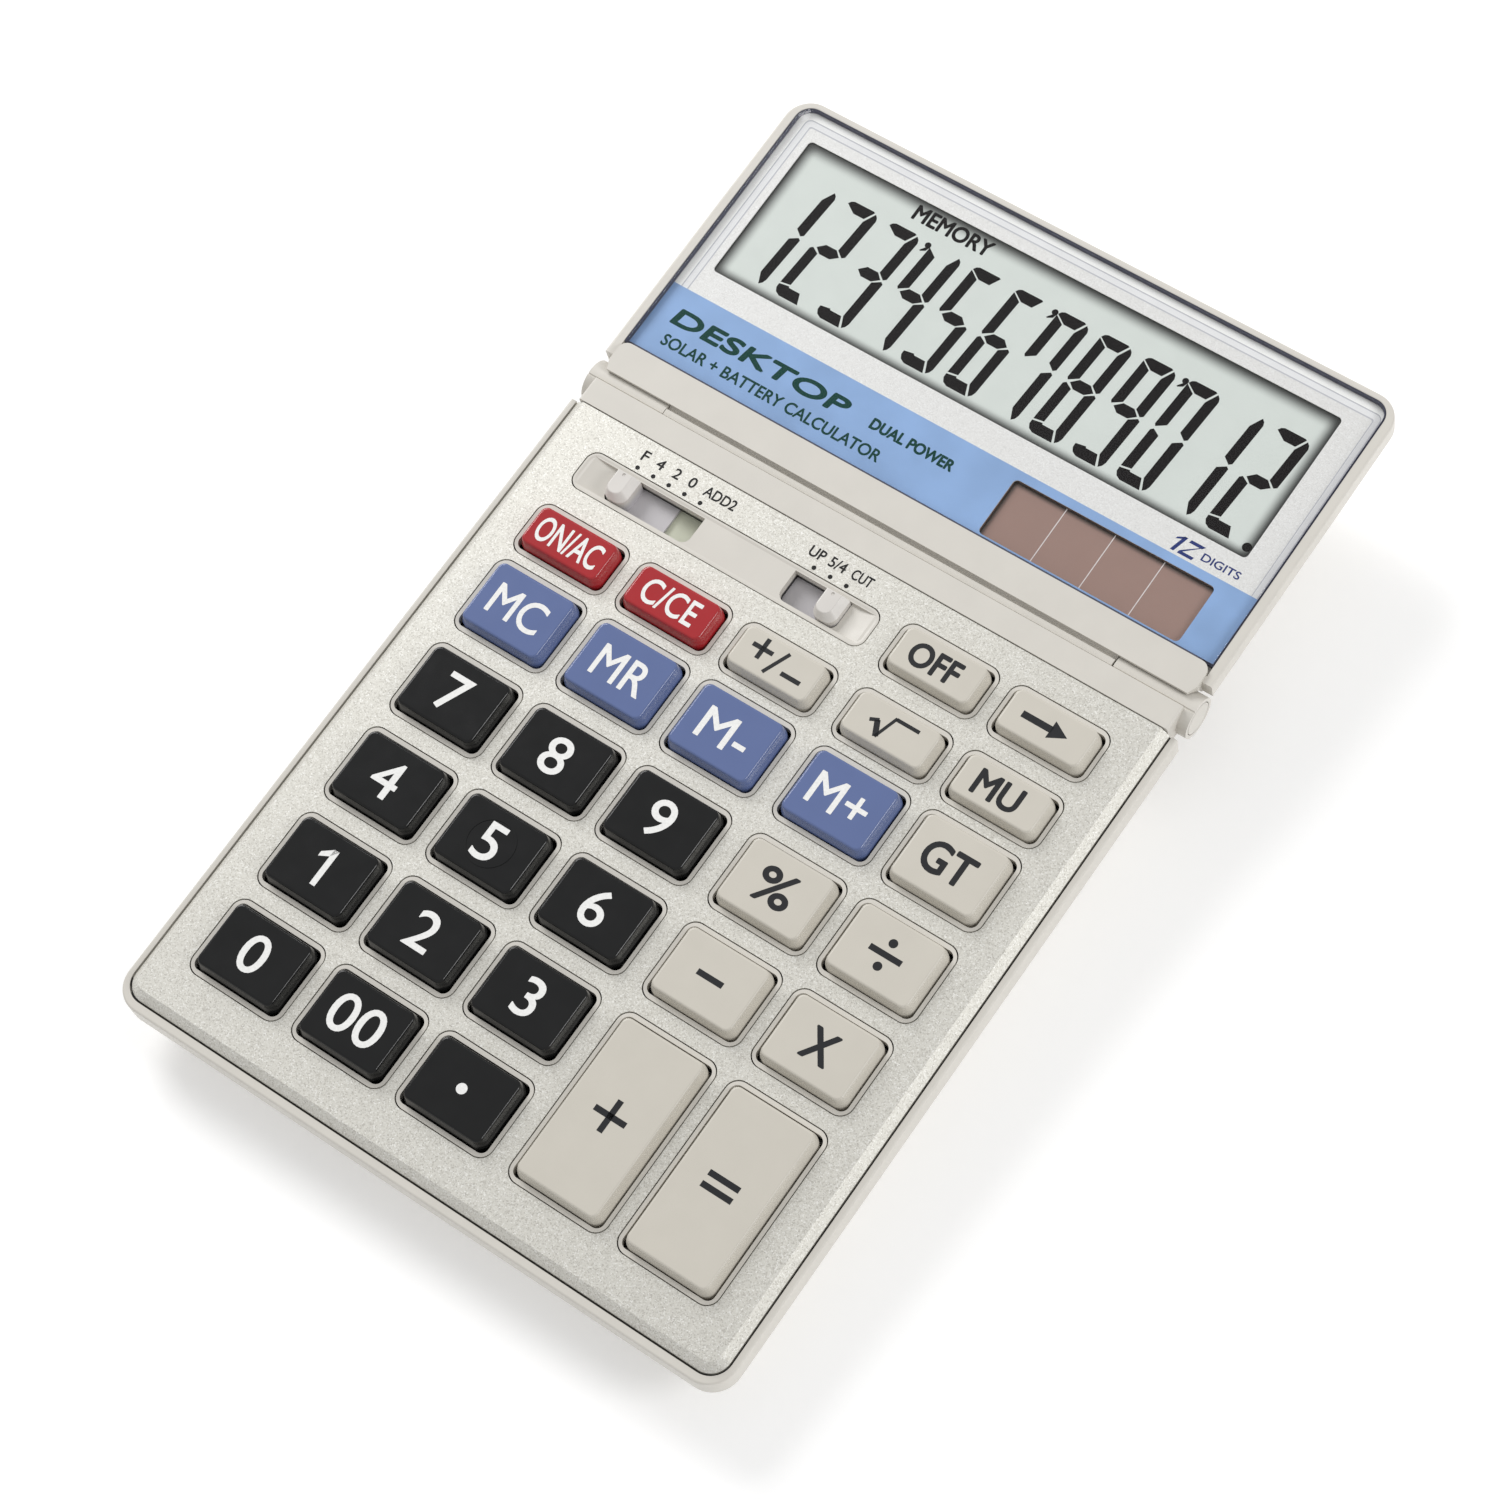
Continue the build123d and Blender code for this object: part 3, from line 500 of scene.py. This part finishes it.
def lettering(name, body, material, words, matrix, height):
    """One piece from words: (text, centre x, centre y, letter height, width or None, slant, bolder).

    A width of None is the font's own, widened a little.
    bolder widens each stroke by twice that many millimetres, with shifted copies of the letters.
    """
    joined = bmesh.new()
    for text, x, y, tall, wide, slant, bolder in words:
        data = letter_mesh(text)
        points = [vertex.co.copy() for vertex in data.vertices]
        xs = [point.x for point in points]
        ys = [point.y for point in points]
        scale_y = (tall - 2 * bolder) / (max(ys) - min(ys))
        scale_x = (wide - 2 * bolder) / (max(xs) - min(xs)) if wide else letter_widening * scale_y
        middle_x = (max(xs) + min(xs)) / 2
        middle_y = (max(ys) + min(ys)) / 2
        shifts = [(0.0, 0.0)]
        if bolder:
            shifts += disc(0.0, 0.0, bolder, steps=8)
        for layer, (shift_x, shift_y) in enumerate(shifts):
            for vertex, point in zip(data.vertices, points):
                across = (point.x - middle_x) * scale_x + x + shift_x
                along = (point.y - middle_y) * scale_y + y + shift_y
                slanted_x = across + slant * (along - y)
                vertex.co = matrix @ Vector((slanted_x, along, height + copy_lift * layer))
            joined.from_mesh(data)
        bpy.data.meshes.remove(data)
    data = bpy.data.meshes.new(name)
    joined.to_mesh(data)
    joined.free()
    return add_object(name, body, material, data)


# ---------------------------------------------------------------- key legends
ink_lift = 0.015
digit_height = 6.2
white_bolder = 0.07
dark_bolder = 0.15
key_5_ring = 0.08  # key 5's raised ring is its highest face, this far over the figure's

# node: (text, height, width)
legends = {
    "key_0": ("0", digit_height, None),
    "key_00": ("00", digit_height, None),
    "key_mc": ("MC", 5.3, 9.2),
    "key_mr": ("MR", 5.3, 9.0),
    "key_m_minus": ("M-", 5.3, 8.2),
    "key_m_plus": ("M+", 5.3, 9.4),
    "key_on_ac": ("ON/AC", 4.3, 11.4),
    "key_c_ce": ("C/CE", 4.3, 9.7),
    "key_off": ("OFF", 4.1, 8.5),
    "key_mu": ("MU", 4.3, 7.6),
    "key_gt": ("GT", 5.2, 8.2),
    "key_percent": ("%", 5.8, 6.2),
    "key_times": ("X", 5.2, 4.6),
}
legends.update({f"key_{digit}": (str(digit), digit_height, None) for digit in range(2, 10)})
white_slots = ("black_key", "blue_key", "red_key")
# how far some legends stand to the right of the middle of their key
legend_shifts = {
    "key_off": -0.45,
    "key_mu": -0.45,
    "key_gt": -0.3,
    "key_backspace": -0.4,
    "key_c_ce": -0.2,
    "key_mr": 0.25,
    "key_9": -0.15,
    "key_5": -0.2,
    "key_4": -0.2,
}


def legend_place(node):
    """A legend's middle, in deck millimetres."""
    low_x, high_x, low_y, high_y, height = top_face(node, deck_inverse)
    x = (low_x + high_x) / 2 + legend_shifts.get(node, 0.0)
    return x, (low_y + high_y) / 2, height + ink_lift


def legend_ink(node):
    return white_ink if slot_of[node] in white_slots else dark_ink


for node, (text, tall, wide) in legends.items():
    x, y, height = legend_place(node)
    if node == "key_5":
        height -= key_5_ring
    bolder = white_bolder if slot_of[node] in white_slots else dark_bolder
    words = [(text, x, y, tall, wide, 0.0, bolder)]
    lettering(f"{node}_legend", f"{node}_body", legend_ink(node), words, deck, height)


def mark(node, shapes):
    """A legend drawn from shapes, given round the key's middle."""
    x, y, height = legend_place(node)
    polygons = at_height(moved(shapes, x, y), height)
    add_piece(f"{node}_legend", f"{node}_body", legend_ink(node), polygons, deck)


def bar(width, length, x=0.0, y=0.0, turn=0.0):
    """A rectangle round x, y, turned by some degrees."""
    cosine = math.cos(math.radians(turn))
    sine = math.sin(math.radians(turn))
    corners = rectangle(-width / 2, width / 2, -length / 2, length / 2)
    return [(x + cosine * a - sine * b, y + sine * a + cosine * b) for a, b in corners]


def dot(radius, y=0.0):
    return disc(0.0, y, radius, steps=20)


def figure_one(tall, thick, lean=0.0):
    """The figure 1 with its flag, round its own middle."""
    half = tall / 2
    left = 0.1
    right = left + thick
    flag_left = -0.24 * tall
    stem = rectangle(left, right, -half, half)
    flag = [
        (right, half),
        (0.2, half),
        (flag_left, half - 0.2 * tall),
        (flag_left, half - 0.33 * tall),
        (left, half - 0.2 * tall),
    ]
    return leaned([stem, flag], lean)


stroke = 0.95
thin_stroke = 0.75
mark("key_point", [dot(0.85)])
mark("key_plus", [bar(5.4, stroke), bar(stroke, 5.4)])
mark("key_equals", [bar(5.2, stroke, y=0.95), bar(5.2, stroke, y=-0.95)])
mark("key_minus", [bar(4.4, stroke)])
mark("key_divide", [bar(5.4, stroke), dot(0.7, y=2.0), dot(0.7, y=-2.0)])
mark(
    "key_sign",
    [
        bar(3.6, thin_stroke, -3.0, 0.9),
        bar(thin_stroke, 3.6, -3.0, 0.9),
        bar(0.6, 4.9, turn=-24),
        bar(3.4, thin_stroke, 3.2, -1.0),
    ],
)
mark(
    "key_root",
    [
        bar(1.5, 0.6, -2.9, 0.1, 25),
        bar(0.9, 2.6, -1.9, -0.9, 26),
        bar(0.5, 4.3, -0.75, -0.1, -18),
        bar(4.0, 0.6, 1.9, 1.75),
    ],
)
mark("key_backspace", [bar(5.2, 1.1, -1.3), [(1.0, 1.5), (3.8, 0.0), (1.0, -1.5)]])
mark("key_1", figure_one(digit_height, stroke))

# ---------------------------------------------------------------- slide switches' print
# the face plate's top is the deck, so ink_lift is the height of its print
label_along = 112.4
label_tall = 1.8
label_bolder = 0.04
dots_along = 110.15
dot_pitch = 2.93
decimal_x = -38.3
rounding_x = 0.25
dot_radius = 0.37
dot_places = [decimal_x + dot_pitch * i for i in range(5)] + [rounding_x - dot_pitch * i for i in range(3)]
switch_dots = at_height([disc(x, dots_along, dot_radius) for x in dot_places], ink_lift)
add_piece("switch_dots", "base", black_ink, switch_dots, deck)
# each label's text, middle and width
label_words = [
    ("F", -38.3, 1.15),
    ("4", -35.5, 1.35),
    ("2", -32.4, 1.2),
    ("0", -29.5, 1.25),
    ("ADD2", -24.35, 5.7),
    ("UP", -6.45, 2.7),
    ("5/4", -2.75, 2.9),
    ("CUT", 1.65, 3.6),
]
lettering(
    "switch_labels",
    "base",
    black_ink,
    [(text, x, label_along, label_tall, wide, 0.0, label_bolder) for text, x, wide in label_words],
    deck,
    ink_lift,
)

# ---------------------------------------------------------------- display
lens_x0, lens_x1, lens_y0, lens_y1, mask_top = top_face("print_mask", head_inverse)
glass_height = top_face("lcd_glass", head_inverse)[4]
cell_height = top_face("solar_cell", head_inverse)[4]
# windows in the mask: left, right, front and rear
lcd_window = (-49.0, 47.7, 24.2, 51.0)
solar_window = (11.4, 46.5, 7.7, 18.0)
solar_left, solar_right, solar_front, solar_rear = solar_window
window_corner = 0.8
lens_corner = 2.4
least_corner = 0.4
band_rear = 19.5
print_lift = 0.004
print_height = mask_top + print_lift
text_height = print_height + print_lift


def corner_fill(x, y, side_x, side_y, steps=6):
    """The small piece that rounds a window's corner at x, y. The sides are 1 or -1, into the window."""
    points = [(x, y)]
    for i in range(steps + 1):
        angle = math.radians(90 * i / steps)
        across = window_corner * (1 - math.cos(angle))
        along = window_corner * (1 - math.sin(angle))
        points.append((x + side_x * across, y + side_y * along))
    return points


# the blue band: four rectangles round the solar window, and a fill in each of its corners
band_shapes = [
    rectangle(lens_x0, solar_left, lens_y0, band_rear),
    rectangle(solar_right, lens_x1, lens_y0, band_rear),
    rectangle(solar_left, solar_right, solar_rear, band_rear),
    rectangle(solar_left, solar_right, lens_y0, solar_front),
]
for corner_x, side_x in ((solar_left, 1), (solar_right, -1)):
    for corner_y, side_y in ((solar_front, 1), (solar_rear, -1)):
        band_shapes.append(corner_fill(corner_x, corner_y, side_x, side_y))
add_piece("blue_band", "display_head", band_ink, at_height(band_shapes, print_height), head)


def round_rear(low_x, high_x, high_y, radius, steps=6):
    """Points along a rear edge with two round corners, from its right end to its left one."""
    points = []
    for middle_x, first in ((high_x - radius, 0), (low_x + radius, 90)):
        for i in range(steps + 1):
            angle = math.radians(first + 90 * i / steps)
            points.append((middle_x + radius * math.cos(angle), high_y - radius + radius * math.sin(angle)))
    return points


def frame_outline(left, right, rear):
    """Points round the silver part of the mask, inset by left, right and rear. The ends lie on the band."""
    low_x, high_x = lens_x0 + left, lens_x1 - right
    radius = max(least_corner, lens_corner - rear)
    return [(high_x, band_rear)] + round_rear(low_x, high_x, lens_y1 - rear, radius) + [(low_x, band_rear)]


def frame_strip(outer, inner):
    """The strip between two insets, each given as left, right and rear."""
    rim = frame_outline(*outer)
    bay = frame_outline(*inner)
    strip = [[rim[i], rim[i + 1], bay[i + 1], bay[i]] for i in range(len(rim) - 1)]
    return at_height(strip, print_height)


# the moulded steps round the lens's edge are painted on the mask: two thin grey lines of painted shade, each
# with a paler strip of painted highlight outside it, the outer strip brightest to make up for the rim's
# shadow
step_insets = [(0.1, 0.05, 0.1), (1.3, 0.3, 1.3), (1.5, 0.45, 1.5), (2.4, 1.25, 2.4), (2.62, 1.4, 2.62)]
strips = [frame_strip(outer, inner) for outer, inner in zip(step_insets, step_insets[1:])]
outer_strip, outer_line, inner_strip, inner_line = strips
add_piece("lens_outer_strip", "display_head", painted_edge_highlight, outer_strip, head)
add_piece("lens_inner_strip", "display_head", painted_step_highlight, inner_strip, head)
add_piece("lens_step_lines", "display_head", painted_step_shade, outer_line + inner_line, head)


def lens_outline(grow, height):
    """The lens's outline in plan, a little larger, with square front corners and round rear ones."""
    low_x, high_x = lens_x0 - grow, lens_x1 + grow
    front, rear = lens_y0 - grow, lens_y1 + grow
    outline = [(low_x, front), (high_x, front)] + round_rear(low_x, high_x, rear, lens_corner + grow)
    return [(x, y, height) for x, y in outline]


# the dark seal in the gap round the lens, with a thin lip on top, is painted shade: it darkens the gap and
# the lens's side. The numbers are how far each part stands out from the lens
seal_inner = 0.03
lip_outer = 0.09
seal_outer = 0.27
shoulder = mask_top + 0.85
lip_top = mask_top + 1.1
seal_profile = [
    (seal_inner, mask_top),
    (seal_outer, mask_top),
    (seal_outer, shoulder),
    (lip_outer, shoulder),
    (lip_outer, lip_top),
    (seal_inner, lip_top),
]
seal_rings = [lens_outline(grow, height) for grow, height in seal_profile]
seal_faces = []
for ring, after in zip(seal_rings, seal_rings[1:] + seal_rings[:1]):
    for i in range(len(ring)):
        following = (i + 1) % len(ring)
        seal_faces.append([ring[i], ring[following], after[following], after[i]])
add_piece("lens_seal", "display_head", dark_seal_shade, seal_faces, head)

# the seal before the lens is an upper face and the face that looks at the lens; its dark colour is painted
# shade along the lens's front edge
seal_half = lens_x1 - 1.6
seal_front = lens_y0 - 0.37
seal_rear = lens_y0 - seal_inner
seal_top = mask_top + 1.15
seal_upper = [(x, y, seal_top) for x, y in rectangle(-seal_half, seal_half, seal_front, seal_rear)]
seal_side = [(x, seal_rear, z) for x, z in reversed(rectangle(-seal_half, seal_half, mask_top, seal_top))]
add_piece("front_seal", "display_head", dark_seal_shade, [seal_upper, seal_side], head)

lettering(
    "display_words",
    "display_head",
    green_ink,
    [
        ("DESKTOP", -33.1, 14.8, 3.1, 32.4, 0.2, 0.17),
        ("SOLAR + BATTERY CALCULATOR", -28.4, 10.5, 2.1, 40.6, 0.0, 0.06),
        ("DUAL POWER", -5.1, 14.8, 2.0, 15.0, 0.0, 0.1),
    ],
    head,
    text_height,
)
lettering(
    "digits_note",
    "display_head",
    blue_ink,
    [("DIGITS", 45.3, 21.3, 1.35, 6.5, 0.0, 0.03)],
    head,
    text_height,
)


def angular_two(tall, wide, thick, lean):
    """The figure 2 with straight strokes, round its own middle."""
    half_wide = wide / 2
    half = tall / 2
    shapes = [
        [(-half_wide, half - thick), (half_wide - 0.3, half - thick), (half_wide, half), (-half_wide, half)],
        rectangle(-half_wide, half_wide, -half, thick - half),
        [
            (-half_wide, thick - half),
            (0.9 * thick - half_wide, thick - half),
            (half_wide, half),
            (half_wide - 1.3 * thick, half - thick),
        ],
    ]
    return leaned(shapes, lean)


twelve_along = 21.35
twelve_tall = 2.8
twelve_lean = 0.3
twelve = moved(figure_one(twelve_tall, 0.6, twelve_lean), 37.6, twelve_along)
twelve += moved(angular_two(twelve_tall, 2.5, 0.52, twelve_lean), 40.15, twelve_along)
add_piece("twelve", "display_head", blue_ink, at_height(twelve, text_height), head)


def steps_across(low, high, fade, count=8):
    """Positions from low to high, close together within fade of both ends."""
    near = [low + fade * i / count for i in range(count + 1)]
    far = [high - fade * i / count for i in range(count, -1, -1)]
    return near + far


def smooth(distance, fade):
    """Goes softly from 0 to 1 as distance goes from 0 to fade."""
    part = min(1.0, distance / fade)
    return part * part * (3 - 2 * part)


def shaded_panel(name, window, height, fades):
    """The mesh of a flat panel behind a window. Its colour "shade" falls from 1 to 0 at the window's edges:
    painted shade where the window's walls would shade the panel.

    fades are how far in that begins, from the left, right, front and rear edges.
    """
    x0, x1, y0, y1 = window
    left, right, front, rear = fades
    mesh = bmesh.new()
    shade = mesh.verts.layers.float_color.new("shade")
    rows = []
    for y in steps_across(y0, y1, max(front, rear)):
        row = []
        for x in steps_across(x0, x1, max(left, right)):
            vertex = mesh.verts.new(head @ Vector((x, y, height)))
            across = smooth(x - x0, left) * smooth(x1 - x, right)
            along = smooth(y - y0, front) * smooth(y1 - y, rear)
            vertex[shade] = (across * along,) * 3 + (1,)
            row.append(vertex)
        rows.append(row)
    for lower, upper in zip(rows, rows[1:]):
        for i in range(len(lower) - 1):
            mesh.faces.new((lower[i], lower[i + 1], upper[i + 1], upper[i]))
    data = bpy.data.meshes.new(name)
    mesh.to_mesh(data)
    mesh.free()
    return data


def shaded_material(name, colour, edge_shade_colour, roughness):
    """A colour that turns to edge_shade_colour where the piece's "shade" is low: painted shade."""
    made, tree, shader, place = new_material(name)
    attribute = tree.nodes.new("ShaderNodeAttribute")
    attribute.attribute_name = "shade"
    mottle = noise(tree, place, size_mm=4.0, detail=3.0)
    inner = two_colours(tree, mottle, scaled(colour, 0.985), scaled(colour, 1.015))
    tint = blend(tree, attribute.outputs["Fac"], edge_shade_colour, inner)
    tree.links.new(tint, shader.inputs["Base Color"])
    tree.links.new(spread(tree, mottle, roughness * 0.9, roughness * 1.1), shader.inputs["Roughness"])
    bump(tree, shader, noise(tree, place, size_mm=0.1), 0.001)
    return made


panel_lift = 0.01
# the LCD turns near-black towards the window's edges: painted shade from the walls round the window
lcd_grey = shaded_material("lcd_grey", linear(216, 222, 218), linear(26, 28, 26), 0.35)
lcd_panel = shaded_panel("lcd_panel", lcd_window, glass_height + panel_lift, (2.4, 2.3, 1.9, 2.7))
add_object("lcd_panel", "display_head", lcd_grey, lcd_panel)

# each digit's segments: a top, b and c right, d bottom, e and f left, g middle
digit_tall = 19.7
digit_width = 5.75
digit_pitch = 7.78
digit_slant = math.tan(math.radians(3.8))
digit_base = 25.8
last_digit_right = 46.0
comma_gap = 1.5
lit = {
    "0": "abcdef",
    "1": "bc",
    "2": "abdeg",
    "3": "abcdg",
    "4": "bcfg",
    "5": "acdfg",
    "6": "acdefg",
    "7": "abcf",
    "8": "abcdefg",
    "9": "abcdfg",
}


def segment_shapes():
    """The seven segments of one digit, as outlines from its lower left corner."""
    w, h = digit_width, digit_tall
    thick = 1.7
    bar_thick = 1.9
    mid = 10.15
    half_bar = bar_thick / 2
    inner = w - thick
    top = [
        (0.05, h - 0.75),
        (0.35, h - 0.25),
        (0.85, h),
        (w - 1.35, h),
        (w - 1.05, h - 0.15),
        (w - bar_thick, h - bar_thick),
        (bar_thick, h - bar_thick),
    ]
    bottom = [
        (0.0, bar_thick - 0.05),
        (0.05, 1.1),
        (0.5, 0.4),
        (1.3, 0.0),
        (w - 1.0, 0.0),
        (w - bar_thick, bar_thick),
        (bar_thick - 0.1, bar_thick),
        (thick - 0.05, bar_thick + 0.25),
    ]
    right_upper = [
        (w - 0.75, h - 0.3),
        (w - 0.25, h - 0.75),
        (w, h - 1.35),
        (w, mid + 0.5),
        (w - 0.45, mid + 0.15),
        (inner, mid + 1.05),
        (inner, h - 2.35),
    ]
    right_lower = [
        (w - 0.45, mid - 0.2),
        (w, mid - 0.5),
        (w, 1.3),
        (w - 0.2, 0.6),
        (w - 0.65, 0.15),
        (inner + 0.05, bar_thick + 0.2),
        (inner, mid - 1.05),
    ]
    left_upper = [(0.0, h - 0.95), (0.0, mid + 0.5), (0.3, mid + 0.1), (thick, mid + 1.1), (thick, h - 2.05)]
    left_lower = [
        (0.4, mid - 0.35),
        (0.0, mid - 0.7),
        (0.0, bar_thick + 0.25),
        (thick, bar_thick + 0.55),
        (thick, mid - 1.05),
    ]
    middle = [
        (0.85, mid - 0.1),
        (1.9, mid + half_bar),
        (w - bar_thick, mid + half_bar),
        (w - 0.8, mid),
        (w - bar_thick, mid - half_bar),
        (1.95, mid - half_bar),
    ]
    return {
        "a": top,
        "b": right_upper,
        "c": right_lower,
        "d": bottom,
        "e": left_lower,
        "f": left_upper,
        "g": middle,
    }


def slanted(x, y):
    """Leans a point of the display's digits over to the right, keeping their tops in place."""
    return x + (y - digit_base - digit_tall) * digit_slant, y


segments = segment_shapes()
digit_polygons = []
shown = "123456789012"
last = len(shown) - 1
lcd_ink_height = glass_height + 2 * panel_lift
tail_height = lcd_ink_height + 0.001
for index, digit in enumerate(shown):
    left = last_digit_right - digit_width - (last - index) * digit_pitch
    lit_shapes = [[slanted(left + x, digit_base + y) for x, y in segments[key]] for key in lit[digit]]
    digit_polygons += at_height(lit_shapes, lcd_ink_height)
# a comma, as a dot and a tail, after the third, sixth and ninth digits
for index in (2, 5, 8):
    x = last_digit_right - (last - index) * digit_pitch + comma_gap
    digit_polygons += at_height([disc(x, 44.75, 0.52)], lcd_ink_height)
    tail = [(x + 0.5, 44.6), (x - 0.1, 44.3), (x - 0.75, 43.45), (x - 0.6, 43.3), (x + 0.2, 43.75)]
    digit_polygons += at_height([tail], tail_height)
decimal_point = disc(46.75, 26.0, 0.75)
digit_polygons += at_height([decimal_point], lcd_ink_height)
add_piece("lcd_digits", "display_head", segment_ink, digit_polygons, head)
lettering(
    "memory_sign",
    "display_head",
    segment_ink,
    [("MEMORY", -20.55, 48.8, 2.85, 14.2, 0.0, 0.11)],
    head,
    lcd_ink_height,
)

# the solar cell's four strips, with pale lines between them and a painted shadow along their left and rear
# edges, where the window's wall shades them
cell_material = shaded_material("cell_brown", linear(158, 130, 121), linear(52, 46, 42), 0.18)
line_ink = print_ink("cell_line", linear(222, 214, 214))
solar_panel = shaded_panel("solar_strips", solar_window, cell_height + panel_lift, (1.0, 0.01, 0.01, 1.1))
add_object("solar_strips", "display_head", cell_material, solar_panel)
line_half = 0.08
line_places = (20.55, 29.1, 37.7)
line_shapes = [rectangle(x - line_half, x + line_half, solar_front, solar_rear) for x in line_places]
solar_lines = at_height(line_shapes, cell_height + 2 * panel_lift)
add_piece("solar_lines", "display_head", line_ink, solar_lines, head)

# ---------------------------------------------------------------- floor, light and camera
floor_mesh = bpy.data.meshes.new("floor")
floor_half = 4.0
floor_level = cad_box[0][2]
floor_shape = rectangle(-floor_half, floor_half, -floor_half, floor_half)
floor_mesh.from_pydata([(x, y, floor_level) for x, y in floor_shape], [], [(0, 1, 2, 3)])
floor = bpy.data.objects.new("floor", floor_mesh)
bpy.context.scene.collection.objects.link(floor)
floor_material, floor_tree, floor_shader, floor_place = new_material("pale_floor")
floor_mottle = noise(floor_tree, floor_place, size_mm=200.0)
floor_tint = two_colours(floor_tree, floor_mottle, (0.93, 0.93, 0.93), (0.95, 0.95, 0.95))
floor_tree.links.new(floor_tint, floor_shader.inputs["Base Color"])
floor_shader.inputs["Roughness"].default_value = 0.9
floor_shader.inputs["Emission Color"].default_value = (1, 1, 1, 1)
floor_shader.inputs["Emission Strength"].default_value = 0.2
floor_shader.inputs["Specular IOR Level"].default_value = 0.0
floor_mesh.materials.append(floor_material)

world = bpy.data.worlds.new("studio")
world.use_nodes = True
world.node_tree.nodes["Background"].inputs["Color"].default_value = (1, 1, 1, 1)
world.node_tree.nodes["Background"].inputs["Strength"].default_value = 0.56
bpy.context.scene.world = world


def soft_light(name, place, target, size, power):
    """A square area light that shines from place to target."""
    data = bpy.data.lights.new(name, "AREA")
    data.energy = power
    data.size = size
    lamp = bpy.data.objects.new(name, data)
    lamp.location = place
    lamp.rotation_mode = "QUATERNION"
    lamp.rotation_quaternion = (Vector(target) - Vector(place)).to_track_quat("-Z", "Y")
    bpy.context.scene.collection.objects.link(lamp)


soft_light("key_light", (-0.92, 0.5, 0.78), (0, 0, 0), 0.6, 9.0)
soft_light("edge_light", (0.85, 0.2, 0.6), (0, 0, 0), 0.35, 3.2)

# the camera's place and directions over the deck, worked out from the photograph's perspective
camera_place = Vector((199.86, -71.63, 517.36))
camera_right = Vector((0.8089, 0.5714, -0.1388))
camera_up = Vector((-0.4781, 0.7765, 0.4105))
camera_back = Vector((0.3423, -0.2657, 0.9012))
turn = deck.to_3x3().normalized()
camera_turn = Matrix((turn @ camera_right, turn @ camera_up, turn @ camera_back)).transposed()
camera_data = bpy.data.cameras.new("camera")
camera_data.lens = 94.77
camera_data.sensor_width = 36.0
camera_data.clip_start = 0.01
camera_data.clip_end = 20.0
camera = bpy.data.objects.new("camera", camera_data)
camera.location = deck @ camera_place
camera.rotation_mode = "QUATERNION"
camera.rotation_quaternion = camera_turn.to_quaternion()
bpy.context.scene.collection.objects.link(camera)
bpy.context.scene.camera = camera
bpy.context.scene.view_settings.view_transform = "Standard"
